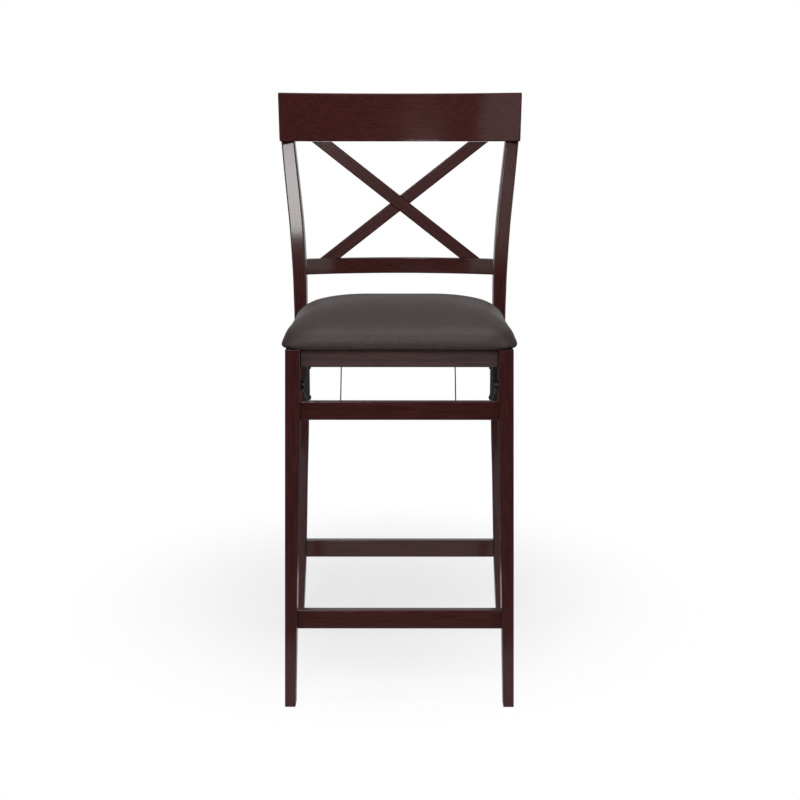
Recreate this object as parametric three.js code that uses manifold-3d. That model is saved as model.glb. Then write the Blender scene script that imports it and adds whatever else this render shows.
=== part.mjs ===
// Folding bar stool with an X back: dark wood frame, padded seat, black steel folding gear.
// Millimetres, +Z up, floor at zero. The front is at -Y, and left is -X.
// While it is built, Y is zero at the front face of the front legs; the last lines centre it.

import * as THREE from 'three';
import { mergeVertices } from 'three/addons/utils/BufferGeometryUtils.js';
import Module from 'manifold-3d';

const wasm = await Module();
wasm.setup();

// Overall
const stoolHeight = 998;
const seatFrameTop = 588;
const clearance = 0.3;
const overrun = 4;
const edgeEase = 2.5;

// Foot pads
const padHeight = 1.5;
const padRadius = 8;
const padNailRadius = 1.5;
const padNailLength = 12;

// Front legs: the front face is upright, the other three taper to the foot
const legSpanAtSeat = 359;
const legSpanAtFoot = 373;
const legWidthAtSeat = 23.5;
const legWidthAtFoot = 17.2;
const legTaperStart = 541;
const legDepthAtSeat = 48;
const legDepthAtFoot = 30;

// Rear legs and back posts, one board each side
const postGap = 335.2;
const postFootFlare = 17;
const postTopFlare = 31.5;
const postWidth = 24.9;
const postDepth = 46;
const postWaistY = 381.5;
const postFootSweep = 65.5;
const postRake = 55.5;
const postHiddenEnd = 13;

// Rails of the front and rear frames
const railTenonLength = 10;
const railTenonThickness = 7;
const railTenonShoulder = 5;
const stretcherHeight = 30;
const stretcherBottom = 475;
const stretcherThickness = 14;
const stretcherSetback = 8;
const footrestHeight = 31;
const footrestBottom = 131;
const footrestThickness = 16;
const footrestSetback = 10;
const rearStretcherHeight = 32;
const rearStretcherBottom = 142;
const rearStretcherThickness = 17;

// Back: crest rail, lower rail and X slats
const crestHeight = 86;
const crestThickness = 20;
const crestWidthTop = 436;
const crestWidthBottom = 428.6;
const crestBow = 48;
const crestLetIn = 1.5;
const lowerRailBottom = 675;
const lowerRailHeight = 28;
const lowerRailThickness = 18;
const lowerRailBow = 45;
const slatWidth = 22;
const slatThickness = 13;
const slatSpreadBottom = 252.8;
const slatSpreadTop = 282;

// Seat frame, board and pad
const seatRailHeight = 28.5;
const seatRailThickness = 13.5;
const apronThickness = 16;
const apronSetback = 8;
const apronSideGap = 0.7;
const seatFrameRear = 325;
const rearRailInset = 2;
const boardThickness = 11;
const boardWidth = 340;
const boardFront = 4;
const boardRear = 333;
const boardCorner = 34;
const padLift = 0.5;
const padWidth = 375;
const padFront = -8;
const padRear = 338;
const padCorner = 45;
const padThickness = 69;
const padPullIn = 1.5;

// Folding gear
const seatPivotY = 300;
const seatPivotDrop = 14;
const plateThickness = 3;
const plateNose = 13;
const plateCorner = 10;
const plateFront = 272;
const plateRear = 385;
const plateBottom = 440;
const plateStep = 520;
const plateStepFall = 8;
const plateChinHeight = 30;
const plateThroatRise = 30;
const plateScrewY = 374;
const plateScrewInset = 12;
const boltRadius = 4;
const boltHeadRadius = 7.5;
const boltHeadThickness = 3.5;
const nutRadius = 7;
const nutSides = 6;
const nutThickness = 6;
const boltTail = 1;
const spacerRadius = 7;
const strapPivotY = 285;
const strapPivotZ = 455;
const strapFrontY = 30;
const strapFrontZ = 528;
const strapWidth = 14;
const strapThickness = 2.4;
const strapRearFlat = 22;
const strapFrontFlat = 178;
const rivetRadius = 3;
const rivetHeadRadius = 6;
const rivetHeadThickness = 2;
const pinThreadRadius = 2.5;
const pinThreadLength = 13;
const screwRadius = 2;
const screwHeadRadius = 4.2;
const screwHeadThickness = 2.4;
const screwLength = 15;
const seatScrewFront = 64;
const seatScrewRear = 236;
const seatScrewBite = 8;
// Round heads: height of the upright rim and radius of the flat crown
const rimShare = 0.33;
const crownShare = 0.67;

// Wire stays between the seat and the upper stretcher
const wireRadius = 0.95;
const wireLeftX = 94;
const wireRightX = 90;
const wireTopY = 90;
const wireTopDrop = 9;
const wireFootGap = 9;
const wireFootZ = 494;
const wireHookLength = 9;
const wireBend = 4;
const clipThickness = 1.5;
const clipFlangeWidth = 14;
const clipMargin = 3;
const clipSlotTravel = 18;
const clipSlotPlay = 1.7;
const clipScrewRadius = 1.5;
const clipScrewHeadRadius = 3;
const clipScrewBite = 7;
const eyeShankRadius = 1.3;
const eyeShankLength = 15;

// Shape tables: heights are shares of the stool's height, the others of the size they follow
const footSweepShares = [[0, 1], [0.14, 0.664], [0.3, 0.313], [0.45, 0.069], [0.575, 0], [1, 0]];
const rakeShares = [[0, 0], [0.575, 0], [0.681, 0.008], [0.802, 0.207], [0.91, 0.586], [1, 1]];
const footFlareShares = [[0, 1], [0.086, 0.69], [0.184, 0.459], [0.296, 0.247], [0.43, 0], [1, 0]];
const topFlareShares = [
  [0, 0], [0.661, 0], [0.719, 0.063], [0.763, 0.149],
  [0.806, 0.276], [0.849, 0.429], [0.911, 0.663], [1, 1],
];
const widthShares = [
  [0, 0.94], [0.43, 0.93], [0.6, 0.885], [0.664, 0.944], [0.806, 1], [0.911, 0.95], [1, 0.8],
];
const depthShares = [
  [0, 0.74], [0.14, 0.8], [0.3, 0.89], [0.45, 0.978], [0.575, 0.967], [0.681, 0.957], [0.8, 0.85], [1, 0.61],
];
// Pad section from its underside to the middle of the crown: share of its plan at the sides and
// rear, share of its plan at the front, share of its thickness
const padSectionShares = [
  [0.99, 0.99, 0], [0.999, 0.999, 0.014], [1, 1, 0.046], [0.996, 1, 0.116], [0.981, 0.995, 0.217],
  [0.962, 0.975, 0.341], [0.935, 0.923, 0.45], [0.9, 0.85, 0.545], [0.85, 0.745, 0.65],
  [0.775, 0.625, 0.753], [0.66, 0.49, 0.846], [0.5, 0.335, 0.927], [0.3, 0.18, 0.978], [0.12, 0.06, 0.998],
];

// Counts
const postStations = 16;
const crestStations = 16;
const roundSides = 16;
const wireSides = 8;
const bendSteps = 4;
const padCornerSteps = 6;
const padSideSteps = 6;
const strapEndSteps = 4;

// Finishes
const wood = { color: new THREE.Color(0x33191a), roughness: 0.45, metalness: 0 };
const vinyl = { color: new THREE.Color(0x4d423f), roughness: 0.5, metalness: 0 };
const plywood = { color: new THREE.Color(0x8a6a48), roughness: 0.7, metalness: 0 };
const nylon = { color: new THREE.Color(0x1c1c1e), roughness: 0.6, metalness: 0 };
const steel = { color: new THREE.Color(0x26262a), roughness: 0.4, metalness: 0.8 };
const zinc = { color: new THREE.Color(0x9a9a9c), roughness: 0.35, metalness: 0.9 };

// Derived places
const legGapAtSeat = legSpanAtSeat - 2 * legWidthAtSeat;
const legGapAtFoot = legSpanAtFoot - 2 * legWidthAtFoot;
const postHalfGap = postGap / 2;
const postTop = stoolHeight - postHiddenEnd;
const footZ = padHeight + clearance;
const crestBottom = stoolHeight - crestHeight;
const lowerRailTop = lowerRailBottom + lowerRailHeight;
const seatRailBottom = seatFrameTop - seatRailHeight;
const seatPivotZ = seatFrameTop - seatPivotDrop;
const boardBottom = seatFrameTop + clearance;
const seatRailOuter = legGapAtSeat / 2 - apronSideGap;
const seatRailInner = seatRailOuter - seatRailThickness;
const plateOuter = postHalfGap - clearance;
const plateInner = plateOuter - plateThickness;
const strapRearOuter = plateInner - clearance;
const wireTopZ = seatFrameTop - wireTopDrop;
const stretcherBack = stretcherSetback + stretcherThickness;
const wireFootY = stretcherBack + wireFootGap;
const eyeInnerRadius = wireRadius + clearance;

// A smooth curve through a table of [place, value] pairs that never overshoots them
function through(table) {
  const steep = table.slice(1).map((point, i) => (point[1] - table[i][1]) / (point[0] - table[i][0]));
  const slope = table.map((point, i) => {
    const before = steep[Math.max(i - 1, 0)];
    const after = steep[Math.min(i, steep.length - 1)];
    return before * after > 0 ? 2 * before * after / (before + after) : 0;
  });
  return (place) => {
    const last = table.length - 2;
    const found = table.findIndex((point) => point[0] >= place);
    const i = found < 0 ? last : Math.max(found - 1, 0);
    const [start, end] = [table[i], table[i + 1]];
    const run = end[0] - start[0];
    const t = (place - start[0]) / run;
    const rise = (3 - 2 * t) * t * t;
    const easeIn = ((t - 2) * t + 1) * t * run * slope[i];
    const easeOut = (t - 1) * t * t * run * slope[i + 1];
    return start[1] * (1 - rise) + end[1] * rise + easeIn + easeOut;
  };
}

const footSweepAt = through(footSweepShares);
const rakeAt = through(rakeShares);
const footFlareAt = through(footFlareShares);
const topFlareAt = through(topFlareShares);
const widthAt = through(widthShares);
const depthAt = through(depthShares);

// Place of a back post's faces at height z
function postFaces(z) {
  const height = z / stoolHeight;
  const middle = postWaistY + postFootSweep * footSweepAt(height) + postRake * rakeAt(height);
  const inner = postHalfGap + postFootFlare * footFlareAt(height) + postTopFlare * topFlareAt(height);
  const halfDepth = postDepth * depthAt(height) / 2;
  return {
    inner, outer: inner + postWidth * widthAt(height),
    front: middle - halfDepth, back: middle + halfDepth, middle,
  };
}

// Place of a front leg's faces at height z
function legFaces(z) {
  const fall = (seatFrameTop - z) / seatFrameTop;
  const taper = Math.max((legTaperStart - z) / legTaperStart, 0);
  return {
    inner: (legGapAtSeat + (legGapAtFoot - legGapAtSeat) * taper) / 2,
    outer: (legSpanAtSeat + (legSpanAtFoot - legSpanAtSeat) * fall) / 2,
    back: legDepthAtSeat + (legDepthAtFoot - legDepthAtSeat) * fall,
  };
}

// Turns every face of a closed shape outwards
function faceOut(geometry) {
  const index = geometry.index.array;
  const at = geometry.attributes.position;
  const [a, b, c] = [new THREE.Vector3(), new THREE.Vector3(), new THREE.Vector3()];
  let volume = 0;
  for (let i = 0; i < index.length; i += 3) {
    a.fromBufferAttribute(at, index[i]);
    b.fromBufferAttribute(at, index[i + 1]);
    c.fromBufferAttribute(at, index[i + 2]);
    volume += a.dot(b.cross(c));
  }
  if (volume < 0) {
    for (let i = 0; i < index.length; i += 3) {
      [index[i], index[i + 1]] = [index[i + 1], index[i]];
    }
  }
  return geometry;
}

// A closed shape through rings of equally many points, with a cap at each end
function loft(rings) {
  const count = rings[0].length;
  const centres = [rings[0], rings[rings.length - 1]].map((ring) => (
    ring.reduce((sum, point) => sum.add(point), new THREE.Vector3()).divideScalar(count)
  ));
  const points = [...rings.flat(), ...centres];
  const lastRing = (rings.length - 1) * count;
  const startCentre = points.length - 2;
  const endCentre = points.length - 1;
  const index = [];
  for (let i = 0; i < count; i += 1) {
    const j = (i + 1) % count;
    for (let ring = 0; ring < lastRing; ring += count) {
      index.push(ring + i, ring + j, ring + count + j);
      index.push(ring + i, ring + count + j, ring + count + i);
    }
    index.push(startCentre, j, i);
    index.push(endCentre, lastRing + i, lastRing + j);
  }
  const geometry = new THREE.BufferGeometry().setFromPoints(points);
  geometry.setIndex(index);
  return faceOut(geometry);
}

// Eight points of a rectangle with eased corners, each put in space by place(u, v)
function easedRing(u0, u1, v0, v1, ease, place) {
  return [
    [u0 + ease, v0], [u1 - ease, v0], [u1, v0 + ease], [u1, v1 - ease],
    [u1 - ease, v1], [u0 + ease, v1], [u0, v1 - ease], [u0, v0 + ease],
  ].map(([u, v]) => place(u, v));
}

// The same rectangle with its corners left square
function squareRing(u0, u1, v0, v1, ease, place) {
  return [[u0, v0], [u1, v0], [u1, v1], [u0, v1]].map(([u, v]) => place(u, v));
}

// Library solid of a closed geometry, and back
function solidOf(geometry) {
  const shell = geometry.clone();
  shell.deleteAttribute('normal');
  shell.deleteAttribute('uv');
  const merged = faceOut(mergeVertices(shell));
  return new wasm.Manifold(new wasm.Mesh({
    numProp: 3,
    vertProperties: new Float32Array(merged.attributes.position.array),
    triVerts: new Uint32Array(merged.index.array),
  }));
}

function geometryOf(solid) {
  const mesh = solid.getMesh();
  const geometry = new THREE.BufferGeometry();
  geometry.setAttribute('position', new THREE.BufferAttribute(mesh.vertProperties, mesh.numProp));
  geometry.setIndex(new THREE.BufferAttribute(mesh.triVerts, 1));
  return geometry;
}

function block(x0, x1, y0, y1, z0, z1) {
  const geometry = new THREE.BoxGeometry(Math.abs(x1 - x0), Math.abs(y1 - y0), Math.abs(z1 - z0));
  return solidOf(geometry.translate((x0 + x1) / 2, (y0 + y1) / 2, (z0 + z1) / 2));
}

// A turned piece about the X axis at (y, z): its outline is a list of [x, radius] pairs
function turnedX(outline, y, z, sides = roundSides) {
  const profile = outline.map(([x, radius]) => new THREE.Vector2(radius, x));
  const geometry = new THREE.LatheGeometry(profile, sides).rotateZ(-Math.PI / 2);
  return solidOf(geometry.translate(0, y, z));
}

function rodX(x0, x1, radius, y, z, sides = roundSides) {
  const [low, high] = [Math.min(x0, x1), Math.max(x0, x1)];
  return turnedX([[low, 0], [low, radius], [high, radius], [high, 0]], y, z, sides);
}

// A turned piece about an upright axis at (x, y): its outline is a list of [z, radius] pairs
function turnedZ(outline, x, y, sides = roundSides) {
  const profile = outline.map(([z, radius]) => new THREE.Vector2(radius, z));
  const geometry = new THREE.LatheGeometry(profile, sides).rotateX(Math.PI / 2);
  return solidOf(geometry.translate(x, y, 0));
}

// An outline with its corners rounded, each [u, v, radius]
function roundedShape(corners) {
  const shape = new THREE.Shape();
  corners.forEach(([u, v, radius], i) => {
    const corner = new THREE.Vector2(u, v);
    const before = corners[(i + corners.length - 1) % corners.length];
    const after = corners[(i + 1) % corners.length];
    const entry = new THREE.Vector2(before[0], before[1]).sub(corner).setLength(radius).add(corner);
    const exit = new THREE.Vector2(after[0], after[1]).sub(corner).setLength(radius).add(corner);
    if (i === 0) {
      shape.moveTo(entry.x, entry.y);
    } else {
      shape.lineTo(entry.x, entry.y);
    }
    shape.quadraticCurveTo(corner.x, corner.y, exit.x, exit.y);
  });
  shape.closePath();
  return shape;
}

const stool = new THREE.Group();

function addPart(name, solid, finish) {
  const mesh = new THREE.Mesh(geometryOf(solid), new THREE.MeshStandardMaterial(finish));
  mesh.name = name;
  stool.add(mesh);
}

const addWood = (name, solid) => addPart(name, solid, wood);
const addSteel = (name, solid) => addPart(name, solid, steel);
const addZinc = (name, solid) => addPart(name, solid, zinc);
const sides = [['left', -1], ['right', 1]];

// Back post board, grown on every face by grow
function postBoard(side, grow) {
  const rings = [];
  const low = footZ - grow;
  const high = postTop + grow;
  for (let i = 0; i <= postStations; i += 1) {
    const z = low + (high - low) * i / postStations;
    const { inner, outer, front, back } = postFaces(z);
    const place = (x, y) => new THREE.Vector3(side * x, y, z);
    rings.push(easedRing(inner - grow, outer + grow, front - grow, back + grow, edgeEase, place));
  }
  return solidOf(loft(rings));
}

// Front leg board, grown on every face by grow
function legBoard(side, grow) {
  const heights = [footZ - grow, legTaperStart, seatFrameTop + grow];
  return solidOf(loft(heights.map((z) => {
    const { inner, outer, back } = legFaces(z);
    const place = (x, y) => new THREE.Vector3(side * x, y, z);
    return easedRing(inner - grow, outer + grow, -grow, back + grow, edgeEase, place);
  })));
}

// Tenon on a rail's end: it runs from inside the rail into the leg, grown by grow
function railTenon(side, face, y, bottom, height, grow) {
  return block(
    side * (face - overrun), side * (face + railTenonLength + grow),
    y - railTenonThickness / 2 - grow, y + railTenonThickness / 2 + grow,
    bottom + railTenonShoulder - grow, bottom + height - railTenonShoulder + grow,
  );
}

// A straight rail across the stool whose ends lie inside the legs, before they are trimmed
function railBeam(halfLength, front, thickness, bottom, height) {
  return solidOf(loft([-halfLength, halfLength].map((x) => (
    easedRing(front, front + thickness, bottom, bottom + height, edgeEase, (y, z) => (
      new THREE.Vector3(x, y, z)
    ))
  ))));
}

const lowerRailMiddleY = postFaces(lowerRailBottom).middle + lowerRailBow;
const lowerRailHalf = postFaces(lowerRailBottom).inner + postWidth / 2;
const lowerRailY = (x) => lowerRailMiddleY - lowerRailBow * (x / lowerRailHalf) ** 2;
const crestBackY = (x, z) => {
  const seat = postFaces(crestBottom).front;
  const top = postFaces(stoolHeight).front;
  const rise = (z - crestBottom) / crestHeight;
  return seat + (top - seat) * rise + crestLetIn + crestBow * (1 - (2 * x / crestWidthTop) ** 2);
};

// Crest rail: a bowed, raked board, slightly wider at its top, grown by grow
function crestBoard(grow) {
  const rings = [];
  for (let i = 0; i <= crestStations; i += 1) {
    const across = 2 * i / crestStations - 1;
    const place = (depth, z) => {
      const rise = (z - crestBottom) / crestHeight;
      const half = (crestWidthBottom + (crestWidthTop - crestWidthBottom) * rise) / 2 + grow;
      return new THREE.Vector3(across * half, crestBackY(across * half, z) + depth, z);
    };
    const [low, high] = [crestBottom - grow, stoolHeight + grow];
    rings.push(easedRing(-crestThickness - grow, grow, low, high, edgeEase, place));
  }
  return solidOf(loft(rings));
}

// Lower back rail: a bowed board whose ends lie inside the posts, before they are trimmed
function lowerRailBoard() {
  const rings = [];
  for (let i = 0; i <= crestStations; i += 1) {
    const x = lowerRailHalf * (2 * i / crestStations - 1);
    const place = (y, z) => new THREE.Vector3(x, lowerRailY(x) + y, z);
    const half = lowerRailThickness / 2;
    rings.push(easedRing(-half, half, lowerRailBottom, lowerRailTop, edgeEase, place));
  }
  return solidOf(loft(rings));
}

// Slat leaning towards side at its top; depths are measured from its middle plane.
// The notch that a slat cuts in the other is this bar widened, with square edges.
function slatBar(side, widen, frontDepth, backDepth) {
  const low = lowerRailTop + clearance;
  const high = crestBottom - clearance;
  const lean = Math.atan2(high - low, (slatSpreadBottom + slatSpreadTop) / 2);
  const halfWidth = (slatWidth / 2 + widen) / Math.sin(lean);
  const lowY = lowerRailY(slatSpreadBottom / 2);
  const highY = crestBackY(slatSpreadTop / 2, crestBottom) - crestThickness / 2;
  return solidOf(loft([
    [low, -side * slatSpreadBottom / 2, lowY],
    [high, side * slatSpreadTop / 2, highY],
  ].map(([z, x, y]) => {
    const place = (across, depth) => new THREE.Vector3(x + across, y + depth, z);
    const ring = widen > 0 ? squareRing : easedRing;
    return ring(-halfWidth, halfWidth, frontDepth, backDepth, edgeEase / 2, place);
  })));
}

function addBackFrame() {
  const crest = crestBoard(0);
  const crestCut = crestBoard(clearance);
  let lowerRail = lowerRailBoard();
  const stretcherZ = rearStretcherBottom + rearStretcherHeight / 2;
  const stretcherAt = postFaces(stretcherZ);
  const stretcherHalf = stretcherAt.inner + postWidth / 2;
  const stretcherFront = stretcherAt.middle - rearStretcherThickness / 2;
  let rearStretcher = railBeam(
    stretcherHalf, stretcherFront, rearStretcherThickness, rearStretcherBottom, rearStretcherHeight,
  );
  const lowerFace = postFaces(lowerRailBottom).inner;
  const lowerTenonY = lowerRailY(lowerFace);

  sides.forEach(([name, side]) => {
    const trim = postBoard(side, clearance);
    const lowerTenon = [side, lowerFace, lowerTenonY, lowerRailBottom, lowerRailHeight];
    const stretcherTenon = [
      side, stretcherAt.inner, stretcherAt.middle, rearStretcherBottom, rearStretcherHeight,
    ];
    lowerRail = lowerRail.subtract(trim).add(railTenon(...lowerTenon, 0));
    rearStretcher = rearStretcher.subtract(trim).add(railTenon(...stretcherTenon, 0));
    let post = postBoard(side, 0).subtract(crestCut);
    post = post.subtract(railTenon(...lowerTenon, clearance));
    post = post.subtract(railTenon(...stretcherTenon, clearance));
    plateScrewHeights.forEach((z) => {
      post = post.subtract(rodX(side * plateOuter, side * (plateInner + screwLength + clearance),
        screwRadius + clearance, plateScrewY, z));
    });
    const foot = rearFoot(side);
    post = post.subtract(padNailHole(foot));
    addWood(`back_post_${name}`, post);
    addPart(`rear_foot_pad_${name}`, footPad(foot), nylon);
  });

  addWood('top_rail', crest);
  addWood('lower_back_rail', lowerRail);
  addWood('rear_stretcher', rearStretcher);

  // The two slats are halved into each other where they cross
  const half = slatThickness / 2;
  const seam = clearance / 2;
  const frontSlat = slatBar(-1, 0, -half, half).subtract(slatBar(1, clearance, -seam, half + overrun));
  const rearSlat = slatBar(1, 0, -half, half).subtract(slatBar(-1, clearance, -half - overrun, seam));
  addWood('x_slat_front', frontSlat);
  addWood('x_slat_rear', rearSlat);
}

// Foot pads: a nylon disc with a nail into the foot
function rearFoot(side) {
  const { inner, outer, middle } = postFaces(footZ);
  return [side * (inner + outer) / 2, middle];
}

function frontFoot(side) {
  const { inner, outer, back } = legFaces(footZ);
  return [side * (inner + outer) / 2, back / 2];
}

function footPad([x, y]) {
  const tip = padHeight + padNailLength;
  return turnedZ([
    [0, 0], [0, padRadius], [padHeight, padRadius], [padHeight, padNailRadius],
    [tip, padNailRadius], [tip, 0],
  ], x, y);
}

function padNailHole([x, y]) {
  const tip = padHeight + padNailLength + clearance;
  const radius = padNailRadius + clearance;
  return turnedZ([[0, 0], [0, radius], [tip, radius], [tip, 0]], x, y);
}

const plateScrewHeights = [plateBottom + plateScrewInset, plateStep - plateScrewInset];

// Hinge plate: an L-shaped plate on the rear leg's inner face, its nose carries the seat pivot
function hingePlate(side) {
  const noseFront = seatPivotY - plateNose;
  const noseRear = seatPivotY + plateNose;
  const noseTop = seatPivotZ + plateNose;
  const chin = plateBottom + plateChinHeight;
  const shape = roundedShape([
    [noseFront, noseTop, plateNose], [noseFront, chin + plateThroatRise, plateCorner],
    [plateFront, chin, plateCorner], [plateFront, plateBottom, plateCorner],
    [plateRear, plateBottom, plateCorner], [plateRear, plateStep, plateCorner],
    [noseRear, plateStep + plateStepFall, plateCorner], [noseRear, noseTop, plateNose],
  ]);
  const geometry = new THREE.ExtrudeGeometry(shape, {
    depth: plateThickness, bevelEnabled: false, curveSegments: bendSteps,
  });
  const turn = new THREE.Matrix4().makeBasis(
    new THREE.Vector3(0, 1, 0), new THREE.Vector3(0, 0, 1), new THREE.Vector3(side, 0, 0),
  );
  geometry.applyMatrix4(turn).translate(side * plateInner, 0, 0);
  const [x0, x1] = [side * (plateInner - overrun), side * (plateOuter + overrun)];
  let plate = solidOf(geometry);
  plate = plate.subtract(rodX(x0, x1, boltRadius + clearance, seatPivotY, seatPivotZ));
  plate = plate.subtract(rodX(x0, x1, rivetRadius + clearance, strapPivotY, strapPivotZ));
  plateScrewHeights.forEach((z) => {
    plate = plate.subtract(rodX(x0, x1, screwRadius + clearance, plateScrewY, z));
  });
  return plate;
}

// Round-headed piece along X: head outside headFace, shank from there to tip
function headed(side, headFace, headTip, headRadius, tip, radius, y, z) {
  const outward = Math.sign(headTip - headFace);
  const rim = headFace + outward * Math.abs(headTip - headFace) * rimShare;
  const outline = [
    [tip, 0], [tip, radius], [headFace, radius], [headFace, headRadius],
    [rim, headRadius], [headTip, headRadius * crownShare], [headTip, 0],
  ];
  return turnedX(outline.map(([x, size]) => [side * x, size]), y, z);
}

function addHingeGear() {
  const names = ['lower', 'upper'];
  sides.forEach(([name, side]) => {
    addSteel(`hinge_plate_${name}`, hingePlate(side));
    plateScrewHeights.forEach((z, i) => {
      const face = plateInner - clearance;
      const screw = headed(side, face, face - screwHeadThickness, screwHeadRadius,
        plateInner + screwLength, screwRadius, plateScrewY, z);
      addZinc(`plate_screw_${names[i]}_${name}`, screw);
    });
    const inside = strapRearOuter - strapThickness - clearance;
    const outside = plateOuter + clearance;
    const rivet = headed(side, outside, outside + rivetHeadThickness, rivetHeadRadius,
      inside, rivetRadius, strapPivotY, strapPivotZ);
    const rivetHead = headed(side, inside, inside - rivetHeadThickness, rivetHeadRadius,
      outside, rivetRadius, strapPivotY, strapPivotZ);
    addZinc(`strap_rivet_${name}`, rivet.add(rivetHead));
  });
}

// Side strap: a flat steel link with round ends, set over between its flat ends
function sideStrap(side) {
  const rear = new THREE.Vector3(strapRearOuter - strapThickness / 2, strapPivotY, strapPivotZ);
  const front = new THREE.Vector3(strapFrontOuter - strapThickness / 2, strapFrontY, strapFrontZ);
  const run = new THREE.Vector3(0, front.y - rear.y, front.z - rear.z);
  const length = run.length();
  run.normalize();
  const across = new THREE.Vector3(0, -run.z, run.y);
  const radius = strapWidth / 2;
  const stations = [];
  for (let i = 1; i <= strapEndSteps; i += 1) {
    const turn = (Math.PI / 2) * (i / strapEndSteps);
    stations.push([-radius * Math.cos(turn), radius * Math.sin(turn)]);
  }
  const ends = stations.map(([place, half]) => [length - place, half]).reverse();
  const all = [...stations, [strapRearFlat, radius], [length - strapFrontFlat, radius], ...ends];
  const rings = all.map(([place, half]) => {
    const slant = length - strapFrontFlat - strapRearFlat;
    const over = THREE.MathUtils.clamp((place - strapRearFlat) / slant, 0, 1);
    const x = rear.x + (front.x - rear.x) * over;
    return [[-1, -1], [1, -1], [1, 1], [-1, 1]].map(([thick, wide]) => new THREE.Vector3(
      side * (x + thick * strapThickness / 2),
      rear.y + run.y * place + across.y * half * wide,
      rear.z + run.z * place + across.z * half * wide,
    ));
  });
  const [x0, x1] = [side * (front.x - overrun), side * (rear.x + overrun)];
  const hole = rivetRadius + clearance;
  return solidOf(loft(rings))
    .subtract(rodX(x0, x1, hole, strapPivotY, strapPivotZ))
    .subtract(rodX(x0, x1, hole, strapFrontY, strapFrontZ));
}

const strapFrontOuter = legFaces(strapFrontZ + strapWidth / 2).inner - clearance;

function strapPin(side, grow) {
  const inside = strapFrontOuter - strapThickness - clearance;
  const shoulder = strapFrontOuter + clearance / 2;
  const tip = legFaces(strapFrontZ).inner + pinThreadLength + grow;
  const outline = [
    [tip, 0], [tip, pinThreadRadius + grow], [shoulder, pinThreadRadius + grow], [shoulder, rivetRadius],
    [inside, rivetRadius], [inside, rivetHeadRadius],
    [inside - rivetHeadThickness, rivetHeadRadius], [inside - rivetHeadThickness, 0],
  ];
  return turnedX(outline.map(([x, size]) => [side * x, size]), strapFrontY, strapFrontZ);
}

function addFrontFrame() {
  const wireX = { left: wireLeftX, right: wireRightX };
  const rails = [
    ['upper_stretcher', stretcherSetback, stretcherThickness, stretcherBottom, stretcherHeight],
    ['footrest', footrestSetback, footrestThickness, footrestBottom, footrestHeight],
  ].map(([name, front, thickness, bottom, height]) => {
    const { inner } = legFaces(bottom + height / 2);
    const half = inner + railTenonLength / 2;
    const tenon = [inner, front + thickness / 2, bottom, height];
    return { name, tenon, solid: railBeam(half, front, thickness, bottom, height) };
  });

  sides.forEach(([name, side]) => {
    const trim = legBoard(side, clearance);
    let leg = legBoard(side, 0).subtract(strapPin(side, clearance));
    rails.forEach((rail) => {
      rail.solid = rail.solid.subtract(trim).add(railTenon(side, ...rail.tenon, 0));
      leg = leg.subtract(railTenon(side, ...rail.tenon, clearance));
    });
    const foot = frontFoot(side);
    addWood(`front_leg_${name}`, leg.subtract(padNailHole(foot)));
    addPart(`front_foot_pad_${name}`, footPad(foot), nylon);
    addSteel(`side_strap_${name}`, sideStrap(side));
    addZinc(`strap_pin_${name}`, strapPin(side, 0));

    const x = side * (wireX[name] + (wireHookLength + wireBend) / 2);
    rails[0].solid = rails[0].solid.subtract(eyeShank(x, clearance));
    const ring = new THREE.TorusGeometry(eyeInnerRadius + wireRadius, wireRadius, wireSides, roundSides);
    ring.rotateY(Math.PI / 2).translate(x, wireFootY, wireFootZ);
    addZinc(`stay_eye_${name}`, solidOf(ring).add(eyeShank(x, 0)));
  });
  rails.forEach((rail) => addWood(rail.name, rail.solid));
}

// Threaded shank of a stay's eye, from the eye's ring into the upper stretcher
function eyeShank(x, grow) {
  const radius = eyeShankRadius + grow;
  const length = eyeShankLength + grow;
  const profile = [[0, 0], [radius, 0], [radius, length], [0, length]];
  const points = profile.map(([size, along]) => new THREE.Vector2(size, along));
  const start = wireFootY - eyeInnerRadius - wireRadius;
  const geometry = new THREE.LatheGeometry(points, wireSides).rotateX(Math.PI);
  return solidOf(geometry.translate(x, start, wireFootZ));
}

// Stay: a thin rod with both ends turned outwards into the clip and the eye
function wireStay(side, x) {
  const top = new THREE.Vector3(x, wireTopY, wireTopZ);
  const foot = new THREE.Vector3(x, wireFootY, wireFootZ);
  const hook = new THREE.Vector3(side * wireHookLength, 0, 0);
  const out = new THREE.Vector3(side, 0, 0);
  const down = foot.clone().sub(top).normalize();
  const path = [[top.clone().add(hook), out.clone().negate()]];
  [[top, out, down], [foot, down.clone().negate(), out]].forEach(([corner, before, after]) => {
    for (let i = 0; i <= bendSteps; i += 1) {
      const t = i / bendSteps;
      const point = corner.clone()
        .addScaledVector(before, wireBend * (1 - t) ** 2)
        .addScaledVector(after, wireBend * t ** 2);
      const heading = after.clone().multiplyScalar(t).addScaledVector(before, t - 1).normalize();
      path.push([point, heading]);
    }
  });
  path.push([foot.clone().add(hook), out]);
  const normal = new THREE.Vector3().crossVectors(out, down).normalize();
  return solidOf(loft(path.map(([point, heading]) => {
    const binormal = new THREE.Vector3().crossVectors(heading, normal);
    return Array.from({ length: wireSides }, (unused, i) => {
      const turn = 2 * Math.PI * i / wireSides;
      return point.clone()
        .addScaledVector(normal, wireRadius * Math.cos(turn))
        .addScaledVector(binormal, wireRadius * Math.sin(turn));
    });
  })));
}

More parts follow.
